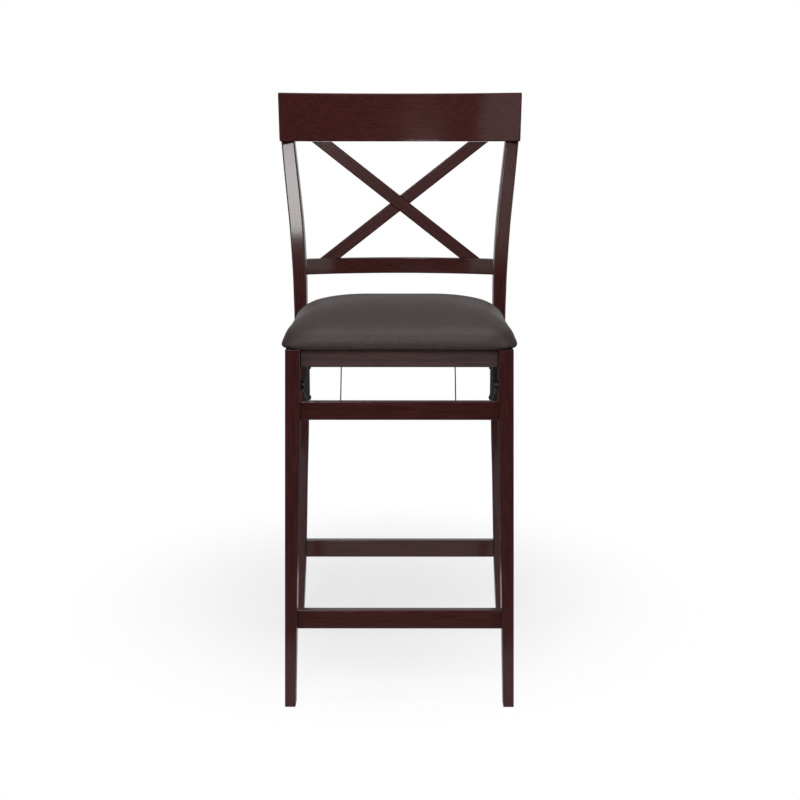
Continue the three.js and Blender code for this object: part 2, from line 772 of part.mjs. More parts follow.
// Bracket under the seat board: a hanging leaf with a slot in which a stay's upper hook slides
function stayClip(side, x) {
  const start = x + side * (wireBend + clearance);
  const top = seatFrameTop;
  const half = wireRadius + clipSlotPlay + clearance;
  const slotFront = wireTopY - half;
  const slotRear = wireTopY + clipSlotTravel + half;
  const [front, rear] = [slotFront - clipMargin, slotRear + clipMargin];
  const leaf = block(start, start + side * clipThickness, front, rear, wireTopZ - half - clipMargin, top);
  const flange = block(start, start + side * clipFlangeWidth, front, rear, top - clipThickness, top);
  const slot = block(start - side * overrun, start + side * overrun, slotFront, slotRear,
    wireTopZ - half, wireTopZ + half);
  return leaf.add(flange).subtract(slot).subtract(clipScrew(side, x, clearance));
}

function clipScrew(side, x, grow) {
  const at = x + side * (wireBend + clearance + (clipFlangeWidth + clipThickness) / 2);
  const y = wireTopY + clipSlotTravel / 2;
  const head = seatFrameTop - clipThickness - clearance;
  const radius = clipScrewRadius + grow;
  const tip = boardBottom + clipScrewBite + grow;
  return turnedZ([
    [head - clipScrewRadius, 0], [head - clipScrewRadius, clipScrewHeadRadius],
    [head, clipScrewHeadRadius], [head, radius], [tip, radius], [tip, 0],
  ], at, y, wireSides);
}

function seatScrew(side, y, grow) {
  const x = side * (seatRailOuter + seatRailInner) / 2;
  const head = seatRailBottom + screwHeadThickness;
  const tip = boardBottom + seatScrewBite + grow;
  const under = grow > 0 ? seatRailBottom - overrun : seatRailBottom;
  const radius = screwRadius + grow;
  return turnedZ([
    [under, 0], [under, screwHeadRadius + grow], [head + grow, screwHeadRadius + grow],
    [head + grow, radius], [tip, radius], [tip, 0],
  ], x, y, wireSides);
}

// Seat board outline grown by grow
function boardSolid(grow) {
  const half = boardWidth / 2 + grow;
  const [front, rear] = [boardFront - grow, boardRear + grow];
  const shape = roundedShape([
    [-half, front, boardCorner], [half, front, boardCorner],
    [half, rear, boardCorner], [-half, rear, boardCorner],
  ]);
  const geometry = new THREE.ExtrudeGeometry(shape, {
    depth: boardThickness + 2 * grow, bevelEnabled: false, curveSegments: bendSteps,
  });
  return solidOf(geometry.translate(0, 0, boardBottom - grow));
}

// Plan of the pad: round corners, sides drawn in a little between them
function padPlan() {
  const halfWidth = padWidth / 2;
  const halfLength = (padRear - padFront) / 2;
  const points = [];
  const corners = [[1, 1, 0], [-1, 1, 1], [-1, -1, 2], [1, -1, 3]];
  corners.forEach(([alongX, alongY, quarter]) => {
    for (let i = 0; i <= padCornerSteps; i += 1) {
      const turn = (quarter + i / padCornerSteps) * Math.PI / 2;
      points.push([
        alongX * (halfWidth - padCorner) + padCorner * Math.cos(turn),
        alongY * (halfLength - padCorner) + padCorner * Math.sin(turn),
      ]);
    }
    const sideways = quarter % 2 === 0;
    const reach = (sideways ? halfWidth : halfLength) - padCorner;
    for (let i = 1; i < padSideSteps; i += 1) {
      const along = 1 - 2 * i / padSideSteps;
      const drawn = padPullIn * (1 - along ** 2);
      const direction = quarter < 2 ? 1 : -1;
      points.push(sideways
        ? [direction * along * reach, direction * (halfLength - drawn)]
        : [-direction * (halfWidth - drawn), direction * along * reach]);
    }
  });
  return points;
}

function seatPad() {
  const plan = padPlan();
  const middle = (padFront + padRear) / 2;
  const bottom = boardBottom + padLift;
  const rings = padSectionShares.map(([out, front, up]) => plan.map(([x, y]) => (
    new THREE.Vector3(x * out, middle + y * (y < 0 ? front : out), bottom + padThickness * up)
  )));
  return solidOf(loft(rings)).subtract(boardSolid(clearance));
}

function addSeat() {
  const wireX = { left: wireLeftX, right: wireRightX };
  let board = boardSolid(0);
  const railFront = apronSetback + apronThickness + clearance;
  sides.forEach(([name, side]) => {
    const x = side * wireX[name];
    let rail = block(side * seatRailInner, side * seatRailOuter,
      railFront, seatFrameRear, seatRailBottom, seatFrameTop);
    rail = rail.subtract(rodX(side * (seatRailInner - overrun), side * (seatRailOuter + overrun),
      boltRadius + clearance, seatPivotY, seatPivotZ));
    [['front', seatScrewFront], ['rear', seatScrewRear]].forEach(([place, y]) => {
      rail = rail.subtract(seatScrew(side, y, clearance));
      board = board.subtract(seatScrew(side, y, clearance));
      addZinc(`seat_screw_${place}_${name}`, seatScrew(side, y, 0));
    });
    board = board.subtract(clipScrew(side, x, clearance));
    addWood(`seat_rail_${name}`, rail);

    const head = plateOuter + clearance;
    const tail = seatRailInner - clearance - nutThickness - boltTail;
    addZinc(`seat_bolt_${name}`, headed(side, head, head + boltHeadThickness, boltHeadRadius,
      tail, boltRadius, seatPivotY, seatPivotZ));
    const bore = rodX(side * (tail - overrun), side * head, boltRadius + clearance, seatPivotY, seatPivotZ);
    const nutFace = seatRailInner - clearance;
    const nut = rodX(side * (nutFace - nutThickness), side * nutFace,
      nutRadius, seatPivotY, seatPivotZ, nutSides);
    const spacer = rodX(side * (seatRailOuter + clearance), side * (plateInner - clearance),
      spacerRadius, seatPivotY, seatPivotZ);
    addZinc(`seat_nut_${name}`, nut.subtract(bore));
    addPart(`seat_spacer_${name}`, spacer.subtract(bore), nylon);
    addSteel(`stay_clip_${name}`, stayClip(side, x));
    addZinc(`clip_screw_${name}`, clipScrew(side, x, 0));
    addSteel(`wire_stay_${name}`, wireStay(side, x));
  });
  const apronBack = apronSetback + apronThickness;
  addWood('seat_apron', block(-seatRailOuter, seatRailOuter,
    apronSetback, apronBack, seatRailBottom, seatFrameTop));
  const rearInner = seatRailInner - clearance;
  const rearBack = seatFrameRear - rearRailInset;
  const rearFront = rearBack - seatRailThickness;
  addWood('seat_rail_rear', block(-rearInner, rearInner, rearFront, rearBack, seatRailBottom, seatFrameTop));
  addPart('seat_board', board, plywood);
  addPart('cushion', seatPad(), vinyl);
}

addBackFrame();
addHingeGear();
addFrontFrame();
addSeat();

// The origin is on the floor under the middle of the whole stool
const box = new THREE.Box3().setFromObject(stool);
stool.position.y = -(box.min.y + box.max.y) / 2;

export default stool;
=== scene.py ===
import math

import bpy
import numpy as np
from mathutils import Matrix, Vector


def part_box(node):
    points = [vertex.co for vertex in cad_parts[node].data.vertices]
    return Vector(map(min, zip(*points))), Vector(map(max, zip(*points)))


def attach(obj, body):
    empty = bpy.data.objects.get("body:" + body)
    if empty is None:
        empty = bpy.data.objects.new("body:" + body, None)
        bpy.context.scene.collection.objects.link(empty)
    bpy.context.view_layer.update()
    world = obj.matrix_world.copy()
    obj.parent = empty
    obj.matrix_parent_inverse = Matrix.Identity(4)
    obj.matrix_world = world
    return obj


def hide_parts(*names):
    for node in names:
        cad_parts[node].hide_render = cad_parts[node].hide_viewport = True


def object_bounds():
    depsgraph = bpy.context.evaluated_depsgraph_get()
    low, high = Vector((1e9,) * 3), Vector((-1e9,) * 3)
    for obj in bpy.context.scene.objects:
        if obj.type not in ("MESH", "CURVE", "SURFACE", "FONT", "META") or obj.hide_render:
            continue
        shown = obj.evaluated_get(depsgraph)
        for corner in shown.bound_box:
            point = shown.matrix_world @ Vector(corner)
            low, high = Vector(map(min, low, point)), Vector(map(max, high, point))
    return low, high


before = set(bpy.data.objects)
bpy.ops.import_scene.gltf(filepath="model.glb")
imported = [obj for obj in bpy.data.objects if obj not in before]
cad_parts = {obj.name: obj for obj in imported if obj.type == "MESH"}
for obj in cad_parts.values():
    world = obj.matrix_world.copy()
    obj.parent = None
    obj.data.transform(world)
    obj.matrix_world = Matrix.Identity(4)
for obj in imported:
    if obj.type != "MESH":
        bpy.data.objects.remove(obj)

cad_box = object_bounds()

# Camera: eye level of someone standing two and a half metres in front of the stool, a little
# to the right of its middle, looking slightly down at the seat.
eye_height = 0.9021
eye_distance = 2.4
eye_right = 0.0066
look_down = 9.31
look_left = 0.1327
lens_mm = 69.45
sensor_mm = 36.0
front_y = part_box("front_leg_left")[0].y

camera_data = bpy.data.cameras.new("camera")
camera_data.lens = lens_mm
camera_data.sensor_width = sensor_mm
camera = bpy.data.objects.new("camera", camera_data)
camera.location = (eye_right, front_y - eye_distance, eye_height)
camera.rotation_euler = (math.radians(90 - look_down), 0, math.radians(look_left))
bpy.context.scene.collection.objects.link(camera)
bpy.context.scene.camera = camera

# Floor: to the camera a plain white glow, mixed in a soft ellipse behind the stool with the lit
# floor so that its real shadow shows; the mix also darkens that ellipse itself, a painted shadow.
# To other rays it is pale near the stool and dark away from it, a painted pool of light that the
# lacquer mirrors.
floor_half = 30.0
lit_pool_reach = 0.52
lit_pool_end = 0.66
shadow_share = 0.42
shadow_left = 0.04
shadow_middle = 0.45
shadow_near = 0.05
shadow_far = 0.68
shadow_squash = 0.8
lit_pool_tone = (0.85, 0.85, 0.845, 1)
unlit_floor_tone = (0.10, 0.10, 0.10, 1)


def new_material(name):
    """A material with an output node only; gives the material, its tree and the output."""
    material = bpy.data.materials.new(name)
    material.use_nodes = True
    material.node_tree.nodes.clear()
    output = material.node_tree.nodes.new("ShaderNodeOutputMaterial")
    return material, material.node_tree, output


def add_node(tree, kind, **settings):
    """A new node; each setting is a property of it or else the value of its input of that name."""
    made = tree.nodes.new(kind)
    for key, value in settings.items():
        if hasattr(made, key):
            setattr(made, key, value)
        else:
            made.inputs[key.replace("_", " ")].default_value = value
    return made


floor_mesh = bpy.data.meshes.new("floor")
floor_mesh.from_pydata(
    [(-floor_half, -floor_half, 0), (floor_half, -floor_half, 0), (floor_half, floor_half, 0),
     (-floor_half, floor_half, 0)],
    [], [(0, 1, 2, 3)],
)
floor = bpy.data.objects.new("floor", floor_mesh)
bpy.context.scene.collection.objects.link(floor)
floor_material, tree, output = new_material("floor_painted_light")
matt = add_node(tree, "ShaderNodeBsdfDiffuse")
glow = add_node(tree, "ShaderNodeEmission", Color=(1, 1, 1, 1), Strength=1.0)
place = add_node(tree, "ShaderNodeTexCoord")
reach = add_node(tree, "ShaderNodeVectorMath", operation="LENGTH")
edge = add_node(tree, "ShaderNodeMapRange", interpolation_type="SMOOTHSTEP")
edge.inputs["From Min"].default_value = lit_pool_reach
edge.inputs["From Max"].default_value = lit_pool_end
ray = add_node(tree, "ShaderNodeLightPath")
# Painted pool of light: to all but camera rays the floor is pale near the stool and dark away from it
unseen = add_node(tree, "ShaderNodeMath", operation="SUBTRACT", use_clamp=True)
tone = add_node(tree, "ShaderNodeMix", data_type="RGBA")
tone.inputs["A"].default_value = lit_pool_tone
tone.inputs["B"].default_value = unlit_floor_tone
# Painted shadow: camera rays see the dimmer lit floor only in a soft ellipse behind the stool, which
# darkens it there; the real shadow shows inside it
centred = add_node(tree, "ShaderNodeMapping")
centred.inputs["Location"].default_value = (shadow_left, -shadow_squash * shadow_middle, 0)
centred.inputs["Scale"].default_value = (1, shadow_squash, 1)
away = add_node(tree, "ShaderNodeVectorMath", operation="LENGTH")
fade = add_node(tree, "ShaderNodeMapRange", interpolation_type="SMOOTHSTEP")
fade.inputs["From Min"].default_value = shadow_near
fade.inputs["From Max"].default_value = shadow_far
fade.inputs["To Min"].default_value = 1 - shadow_share
fade.inputs["To Max"].default_value = 1
share = add_node(tree, "ShaderNodeMath", operation="MULTIPLY")
mix = add_node(tree, "ShaderNodeMixShader")
tree.links.new(place.outputs["Object"], reach.inputs[0])
tree.links.new(reach.outputs["Value"], edge.inputs["Value"])
tree.links.new(edge.outputs["Result"], unseen.inputs[0])
tree.links.new(ray.outputs["Is Camera Ray"], unseen.inputs[1])
tree.links.new(unseen.outputs[0], tone.inputs["Factor"])
tree.links.new(tone.outputs["Result"], matt.inputs["Color"])
tree.links.new(place.outputs["Object"], centred.inputs["Vector"])
tree.links.new(centred.outputs[0], away.inputs[0])
tree.links.new(away.outputs["Value"], fade.inputs["Value"])
tree.links.new(fade.outputs["Result"], share.inputs[0])
tree.links.new(ray.outputs["Is Camera Ray"], share.inputs[1])
tree.links.new(share.outputs[0], mix.inputs[0])
tree.links.new(matt.outputs[0], mix.inputs[1])
tree.links.new(glow.outputs[0], mix.inputs[2])
tree.links.new(mix.outputs[0], output.inputs["Surface"])
floor_mesh.materials.append(floor_material)

# Studio light: a dim room, a bright soft box in front on the left that the lacquer mirrors and a
# dim one on the right, a pale panel on each side and behind, and a broad panel overhead.
room_level = 0.11
world = bpy.data.worlds.new("studio")
world.use_nodes = True
bpy.context.scene.world = world
tree = world.node_tree
tree.nodes.clear()
room = add_node(tree, "ShaderNodeBackground", Color=(1, 1, 1, 1), Strength=room_level)
backdrop = add_node(tree, "ShaderNodeBackground", Color=(1, 1, 1, 1), Strength=1.0)
ray = add_node(tree, "ShaderNodeLightPath")
mix = add_node(tree, "ShaderNodeMixShader")
output = add_node(tree, "ShaderNodeOutputWorld")
tree.links.new(ray.outputs["Is Camera Ray"], mix.inputs[0])
tree.links.new(room.outputs[0], mix.inputs[1])
tree.links.new(backdrop.outputs[0], mix.inputs[2])
tree.links.new(mix.outputs[0], output.inputs["Surface"])


def soft_box(name, place, target, width, height, brightness):
    """A rectangular lamp at place that faces target; its power is brightness x area x pi."""
    data = bpy.data.lights.new(name, "AREA")
    data.shape = "RECTANGLE"
    data.size = width
    data.size_y = height
    data.energy = brightness * width * height * math.pi
    lamp = bpy.data.objects.new(name, data)
    lamp.location = place
    lamp.rotation_euler = (Vector(target) - Vector(place)).to_track_quat("-Z", "Y").to_euler()
    lamp.visible_camera = False
    bpy.context.scene.collection.objects.link(lamp)


soft_box("front_left_box", place=(-0.42, -2.72, 1.94), target=(-0.15, 0.1, 0.85),
         width=0.60, height=1.1, brightness=16.0)
soft_box("front_right_box", place=(0.75, -2.72, 1.7), target=(0.2, 0, 0.8),
         width=0.9, height=1.6, brightness=0.4)
soft_box("left_panel", place=(-2.2, -1.7, 1.6), target=(0, -1.5, 1.2),
         width=2.8, height=3.2, brightness=1.25)
soft_box("right_panel", place=(2.2, -1.6, 0.9), target=(0, -1.4, 0.8),
         width=2.8, height=1.8, brightness=1.6)
soft_box("back_panel", place=(0, 2.9, 1.5), target=(0, 0, 0.7),
         width=4.0, height=2.6, brightness=0.45)
soft_box("overhead_panel", place=(0.2, -0.3, 3.3), target=(0, 0, 0.4),
         width=2.4, height=2.4, brightness=2.5)
bpy.context.scene.view_settings.view_transform = "Standard"

# Back posts: rear leg and back in one sawn board on each side, bent back above and below the
# seat and splayed outwards, with eased edges, stained espresso and lacquered satin.
stool_height = cad_box[1].z
post_gap = 0.3352
post_foot_flare = 0.017
post_top_flare = 0.0315
post_width = 0.0249
post_depth = 0.046
post_waist_y = front_y + 0.3815
post_foot_sweep = 0.0655
post_rake = 0.0555
post_ease = 0.0024
end_ease = 0.0005
foot_sweep_shares = [(0, 1), (0.14, 0.664), (0.3, 0.313), (0.45, 0.069), (0.575, 0), (1, 0)]
rake_shares = [(0, 0), (0.575, 0), (0.681, 0.008), (0.802, 0.207), (0.91, 0.586), (1, 1)]
foot_flare_shares = [(0, 1), (0.086, 0.69), (0.184, 0.459), (0.296, 0.247), (0.43, 0), (1, 0)]
top_flare_shares = [
    (0, 0), (0.661, 0), (0.719, 0.063), (0.763, 0.149),
    (0.806, 0.276), (0.849, 0.429), (0.911, 0.663), (1, 1),
]
width_shares = [
    (0, 0.94), (0.43, 0.93), (0.6, 0.885), (0.664, 0.944), (0.806, 1), (0.911, 0.95), (1, 0.8),
]
depth_shares = [
    (0, 0.74), (0.14, 0.8), (0.3, 0.89), (0.45, 0.978),
    (0.575, 0.967), (0.681, 0.957), (0.8, 0.85), (1, 0.61),
]


def smooth_curve(table):
    """Curve through (place, value) pairs that never overshoots them: with chord slopes c, the slope
    at a point is 2 c0 c1 / (c0 + c1) where c0 and c1 have one sign, and 0 where they don't."""
    places, values = np.array(table, float).T
    chord = np.diff(values) / np.diff(places)
    before = np.r_[chord[0], chord]
    after = np.r_[chord, chord[-1]]
    one_way = before * after > 0
    slope = np.where(one_way, 2 * before * after / np.where(one_way, before + after, 1), 0)

    def curve(place):
        i = np.clip(np.searchsorted(places, place) - 1, 0, len(chord) - 1)
        run = places[i + 1] - places[i]
        t = (place - places[i]) / run
        rise = (3 - 2 * t) * t * t
        bend = ((t - 2) * t + 1) * t * slope[i] + (t - 1) * t * t * slope[i + 1]
        return values[i] * (1 - rise) + values[i + 1] * rise + bend * run

    return curve


foot_sweep_at = smooth_curve(foot_sweep_shares)
rake_at = smooth_curve(rake_shares)
foot_flare_at = smooth_curve(foot_flare_shares)
top_flare_at = smooth_curve(top_flare_shares)
width_at = smooth_curve(width_shares)
depth_at = smooth_curve(depth_shares)


def post_faces(z):
    """Inner X, width, middle Y and depth of a back post at height z."""
    height = z / stool_height
    middle = post_waist_y + post_foot_sweep * foot_sweep_at(height) + post_rake * rake_at(height)
    inner = post_gap / 2 + post_foot_flare * foot_flare_at(height) + post_top_flare * top_flare_at(height)
    return inner, post_width * width_at(height), middle, post_depth * depth_at(height)


def rows(*values):
    """Arrays and single numbers side by side, as rows of points."""
    return np.stack(np.broadcast_arrays(*values), -1).astype(float)


def board_stations(low, high, ease, count):
    """Places from low to high, crowded at both ends, and how far the outline is drawn in at each:
    ease - sqrt(ease^2 - (ease - d)^2) at depth d from an end, which rounds the end's edges."""
    end_rings = 5
    fade = ease * (1 - np.cos(np.linspace(0, np.pi / 2, end_rings)))
    place = np.r_[low + fade, np.linspace(low + 2 * ease, high - 2 * ease, count), high - fade[::-1]]
    depth = np.minimum(place - low, high - place)
    short = np.maximum(ease - depth, 0)
    return place, ease - np.sqrt(np.maximum(ease**2 - short**2, 0))


def carry_board(centre, across, up, half_across, half_up, ease, drawn_in):
    """A rectangle with rounded corners carried along a path: centre + a * across + b * up, where
    (a, b) goes round it, with a support point beside each end of each quarter circle."""
    support, least_ease = 0.0004, 0.05
    bend = np.radians([0, 0, 15, 30, 45, 60, 75, 90, 90])
    beside = np.array([-1, 0, 0, 0, 0, 0, 0, 0, 1]) * support
    angle = (np.arange(4)[:, None] * np.pi / 2 + bend).ravel()
    side_a = np.repeat([1, -1, -1, 1], len(bend))
    side_b = np.repeat([1, 1, -1, -1], len(bend))
    step = np.tile(beside, 4)
    drawn = np.broadcast_to(drawn_in, len(centre))[:, None]
    radius = np.maximum(ease - drawn, least_ease * ease)
    half_a = np.broadcast_to(half_across, len(centre))[:, None] - drawn
    half_b = np.broadcast_to(half_up, len(centre))[:, None] - drawn
    a = side_a * (half_a - radius) + radius * np.cos(angle) - step * np.sin(angle)
    b = side_b * (half_b - radius) + radius * np.sin(angle) + step * np.cos(angle)
    return centre[:, None] + a[..., None] * across[:, None] + b[..., None] * up[:, None]


def skin(name, grid):
    """A closed smooth shape over rings of points, with a flat face in a narrow rim on each end."""
    rim_share = 0.07
    rims = [(1 - rim_share) * end + rim_share * end.mean(0) for end in (grid[0], grid[-1])]
    grid = np.concatenate([rims[0][None], grid, rims[1][None]])
    rings, count = grid.shape[:2]
    at = np.arange(rings * count).reshape(rings, count)
    beside = np.roll(at, -1, 1)
    quads = np.stack([at[:-1], beside[:-1], beside[1:], at[1:]], -1).reshape(-1, 4)
    points = grid.reshape(-1, 3)
    a, b, c, d = np.moveaxis(points[quads], 1, 0)
    middle = points.mean(0)
    volume = np.einsum("ij,ij->", (a + c) / 2 - middle, np.cross(c - a, d - b))
    faces = [*quads.tolist(), at[0][::-1].tolist(), at[-1].tolist()]
    if volume < 0:
        faces = [face[::-1] for face in faces]
    mesh = bpy.data.meshes.new(name)
    mesh.from_pydata(points.tolist(), [], faces)
    mesh.shade_smooth()
    made = bpy.data.objects.new(name, mesh)
    bpy.context.scene.collection.objects.link(made)
    return made


def add_socket(group, name, kind, into, value=None):
    """One socket of a shader node group."""
    made = group.interface.new_socket(name=name, in_out=into, socket_type=kind)
    if value is not None:
        made.default_value = value


def make_grain_group():
    """Grain of a stained board that runs along X: streaks are noise drawn out along the board, and
    pores are short dark dashes. It gives the streaks, the pores and a height."""
    group = bpy.data.node_groups.new("board_grain", "ShaderNodeTree")
    add_socket(group, "Vector", "NodeSocketVector", "INPUT")
    add_socket(group, "Fineness", "NodeSocketFloat", "INPUT", 1.0)
    add_socket(group, "Streaks", "NodeSocketFloat", "OUTPUT")
    add_socket(group, "Pores", "NodeSocketFloat", "OUTPUT")
    add_socket(group, "Height", "NodeSocketFloat", "OUTPUT")
    streak_length, pore_length, pore_dip = 16.0, 24.0, -0.7
    source = add_node(group, "NodeGroupInput")
    result = add_node(group, "NodeGroupOutput")
    sized = add_node(group, "ShaderNodeVectorMath", operation="SCALE")
    drawn = add_node(group, "ShaderNodeVectorMath", operation="MULTIPLY")
    drawn.inputs[1].default_value = (1.0, streak_length, streak_length)
    streak = add_node(group, "ShaderNodeTexNoise", Scale=21.0, Detail=6.0, Roughness=0.66, Distortion=0.3)
    streaks = add_node(group, "ShaderNodeMapRange", interpolation_type="SMOOTHSTEP")
    streaks.inputs["From Min"].default_value = 0.34
    streaks.inputs["From Max"].default_value = 0.70
    thin = add_node(group, "ShaderNodeVectorMath", operation="MULTIPLY")
    thin.inputs[1].default_value = (1.0, pore_length, pore_length)
    pore = add_node(group, "ShaderNodeTexNoise", Scale=74.0, Detail=2.0, Roughness=0.5)
    pores = add_node(group, "ShaderNodeMapRange", interpolation_type="SMOOTHSTEP")
    pores.inputs["From Min"].default_value = 0.56
    pores.inputs["From Max"].default_value = 0.72
    height = add_node(group, "ShaderNodeMath", operation="MULTIPLY_ADD")
    height.inputs[1].default_value = pore_dip
    link = group.links.new
    link(source.outputs["Vector"], sized.inputs[0])
    link(source.outputs["Fineness"], sized.inputs["Scale"])
    link(sized.outputs[0], drawn.inputs[0])
    link(drawn.outputs[0], streak.inputs["Vector"])
    link(streak.outputs["Fac"], streaks.inputs["Value"])
    link(sized.outputs[0], thin.inputs[0])
    link(thin.outputs[0], pore.inputs["Vector"])
    link(pore.outputs["Fac"], pores.inputs["Value"])
    link(pores.outputs["Result"], height.inputs[0])
    link(streaks.outputs["Result"], height.inputs[2])
    link(streaks.outputs["Result"], result.inputs["Streaks"])
    link(pores.outputs["Result"], result.inputs["Pores"])
    link(height.outputs[0], result.inputs["Height"])
    return group


grain_group = make_grain_group()
grain_turns = {"x": (0, 0, 0), "y": (0, 0, -math.pi / 2), "z": (0, math.pi / 2, 0)}
espresso_dark = (0.0350, 0.0077, 0.0070)
espresso_light = (0.0610, 0.0138, 0.0126)


def wood_finish(name, turn, shift, dark=espresso_dark, light=espresso_light, roughness=0.32,
                lacquer=0.45, specular=0.12, fineness=1.0):
    """Stained board under satin lacquer: two tones mixed by the streaks, dark pores, fine relief."""
    pore_tone, pore_weight, streak_dullness = 0.45, 0.55, 0.08
    material, tree, output = new_material(name)
    place = add_node(tree, "ShaderNodeTexCoord")
    turned = add_node(tree, "ShaderNodeMapping")
    turned.inputs["Rotation"].default_value = turn
    turned.inputs["Location"].default_value = shift
    grain = add_node(tree, "ShaderNodeGroup", node_tree=grain_group)
    grain.inputs["Fineness"].default_value = fineness
    stain = add_node(tree, "ShaderNodeMix", data_type="RGBA")
    stain.inputs["A"].default_value = (*dark, 1)
    stain.inputs["B"].default_value = (*light, 1)
    sunk = add_node(tree, "ShaderNodeMix", data_type="RGBA")
    sunk.inputs["B"].default_value = (*[pore_tone * value for value in dark], 1)
    pore_share = add_node(tree, "ShaderNodeMath", operation="MULTIPLY")
    pore_share.inputs[1].default_value = pore_weight
    dull = add_node(tree, "ShaderNodeMath", operation="MULTIPLY_ADD")
    dull.inputs[1].default_value = streak_dullness
    dull.inputs[2].default_value = roughness
    relief = add_node(tree, "ShaderNodeBump", Strength=0.14, Distance=0.0004)
    surface = add_node(tree, "ShaderNodeBsdfPrincipled")
    surface.inputs["Specular IOR Level"].default_value = specular
    surface.inputs["Coat Weight"].default_value = lacquer
    surface.inputs["Coat Roughness"].default_value = 0.12
    link = tree.links.new
    link(place.outputs["Object"], turned.inputs["Vector"])
    link(turned.outputs[0], grain.inputs["Vector"])
    link(grain.outputs["Streaks"], stain.inputs["Factor"])
    link(stain.outputs["Result"], sunk.inputs["A"])
    link(grain.outputs["Pores"], pore_share.inputs[0])
    link(pore_share.outputs[0], sunk.inputs["Factor"])
    link(sunk.outputs["Result"], surface.inputs["Base Color"])
    link(grain.outputs["Streaks"], dull.inputs[0])
    link(dull.outputs[0], surface.inputs["Roughness"])
    link(grain.outputs["Height"], relief.inputs["Height"])
    link(relief.outputs[0], surface.inputs["Normal"])
    link(surface.outputs[0], output.inputs["Surface"])
    return material


def dress(piece, material, body, slot, *nodes):
    """Gives a piece its material and its body, and hides the frame nodes that it replaces. The slot is not
    used.
    """
    piece.data.materials.append(material)
    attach(piece, body)
    if nodes:
        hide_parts(*nodes)


for name, side in (("left", -1), ("right", 1)):
    low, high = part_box(f"back_post_{name}")
    z, drawn_in = board_stations(low.z, high.z, end_ease, count=96)
    inner, width, middle, depth = post_faces(z)
    post = skin(f"back_post_board_{name}", carry_board(
        rows(side * (inner + width / 2), middle, z), rows(1, 0, 0 * z), rows(0, 1, 0 * z),
        width / 2, depth / 2, post_ease, drawn_in,
    ))
    post_finish = wood_finish(f"post_finish_{name}", grain_turns["z"], (0.3 * side, 0.1, 0),
                              lacquer=0.65)
    dress(post, post_finish, "back_frame", "espresso_wood", f"back_post_{name}")

# Crest rail: a wide board sawn to a bow and raked with the posts, let a little into their
# fronts. Its ends lean outwards and all its edges are eased.
crest_low, crest_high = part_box("top_rail")
crest_thickness = 0.020
crest_width_top = 0.436
crest_width_bottom = 0.4286
crest_bow = 0.048
crest_let_in = 0.0015
crest_ease = 0.0022
crest_height = crest_high.z - crest_low.z


def post_front(z):
    """Front face of a back post at height z."""
    middle, depth = post_faces(z)[2:]
    return middle - depth / 2


crest_rake = (post_front(crest_high.z) - post_front(crest_low.z)) / crest_height


def crest_back_y(x, z):
    """Back face of the crest rail: it bows back by crest_bow * (1 - (2x / width)^2) and rakes
    with z."""
    bow = crest_bow * (1 - (2 * x / crest_width_top) ** 2)
    return post_front(crest_low.z) + crest_let_in + crest_rake * (z - crest_low.z) + bow


crest_z = (crest_low.z + crest_high.z) / 2
crest_half = (crest_width_top + crest_width_bottom) / 4
x, drawn_in = board_stations(-crest_half, crest_half, crest_ease, count=80)
spread = (crest_width_top - crest_width_bottom) / 2 / crest_height * x / crest_half
bow_slope = -8 * crest_bow * x / crest_width_top**2
crest = skin("crest_board", carry_board(
    rows(x, crest_back_y(x, crest_z) - crest_thickness / 2, crest_z),
    rows(spread, crest_rake + spread * bow_slope, 1), rows(0, 1, 0 * x),
    crest_height / 2, crest_thickness / 2, crest_ease, drawn_in,
))
crest_finish = wood_finish("crest_finish", grain_turns["x"], (0, 0.37, 0.12),
                           light=(0.0620, 0.0140, 0.0122), lacquer=0.45,
                           specular=0.02, fineness=1.15)
dress(crest, crest_finish, "back_frame", "espresso_wood", "top_rail")

# Lower back rail: a narrower bowed rail tenoned between the posts. It carries the feet of the X.
rail_low, rail_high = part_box("lower_back_rail")
lower_rail_thickness = 0.018
lower_rail_bow = 0.045
rail_ease = 0.0018
joint_gap = 0.0002
lower_shoulder, width, lower_rail_middle, depth = post_faces(rail_low.z)
lower_rail_half = lower_shoulder + post_width / 2


def lower_rail_y(x):
    """Middle of the lower rail's thickness: it bows back by lower_rail_bow * (1 - (x / half)^2)."""
    return lower_rail_middle + lower_rail_bow * (1 - (x / lower_rail_half) ** 2)


x, drawn_in = board_stations(joint_gap - lower_shoulder, lower_shoulder - joint_gap, end_ease, count=60)
lower_rail = skin("lower_rail_board", carry_board(
    rows(x, lower_rail_y(x), (rail_low.z + rail_high.z) / 2), rows(0 * x, 0, 1), rows(0 * x, 1, 0),
    (rail_high.z - rail_low.z) / 2, lower_rail_thickness / 2, rail_ease, drawn_in,
))
lower_rail_finish = wood_finish("lower_rail_finish", grain_turns["x"], (0.2, 0, 0.31))
dress(lower_rail, lower_rail_finish, "back_frame", "espresso_wood", "lower_back_rail")

# X slats: two straight bars butted between the two bowed rails and halved into each other where
# they cross. The bar that falls to the right is whole in front, the other one behind.
slat_width = 0.022
slat_thickness = 0.013
slat_spread_bottom = 0.2528
slat_spread_top = 0.282
slat_ease = 0.0014
slat_gap = 0.0003
slat_low = rail_high.z + slat_gap
slat_high = crest_low.z - slat_gap
slat_low_y = lower_rail_y(slat_spread_bottom / 2)
slat_high_y = crest_back_y(slat_spread_top / 2, crest_low.z) - crest_thickness / 2
slat_climb = (slat_high - slat_low) / ((slat_spread_bottom + slat_spread_top) / 2)
slat_lean = math.atan(slat_climb)
slat_lie = (slat_high_y - slat_low_y) / (slat_high - slat_low)


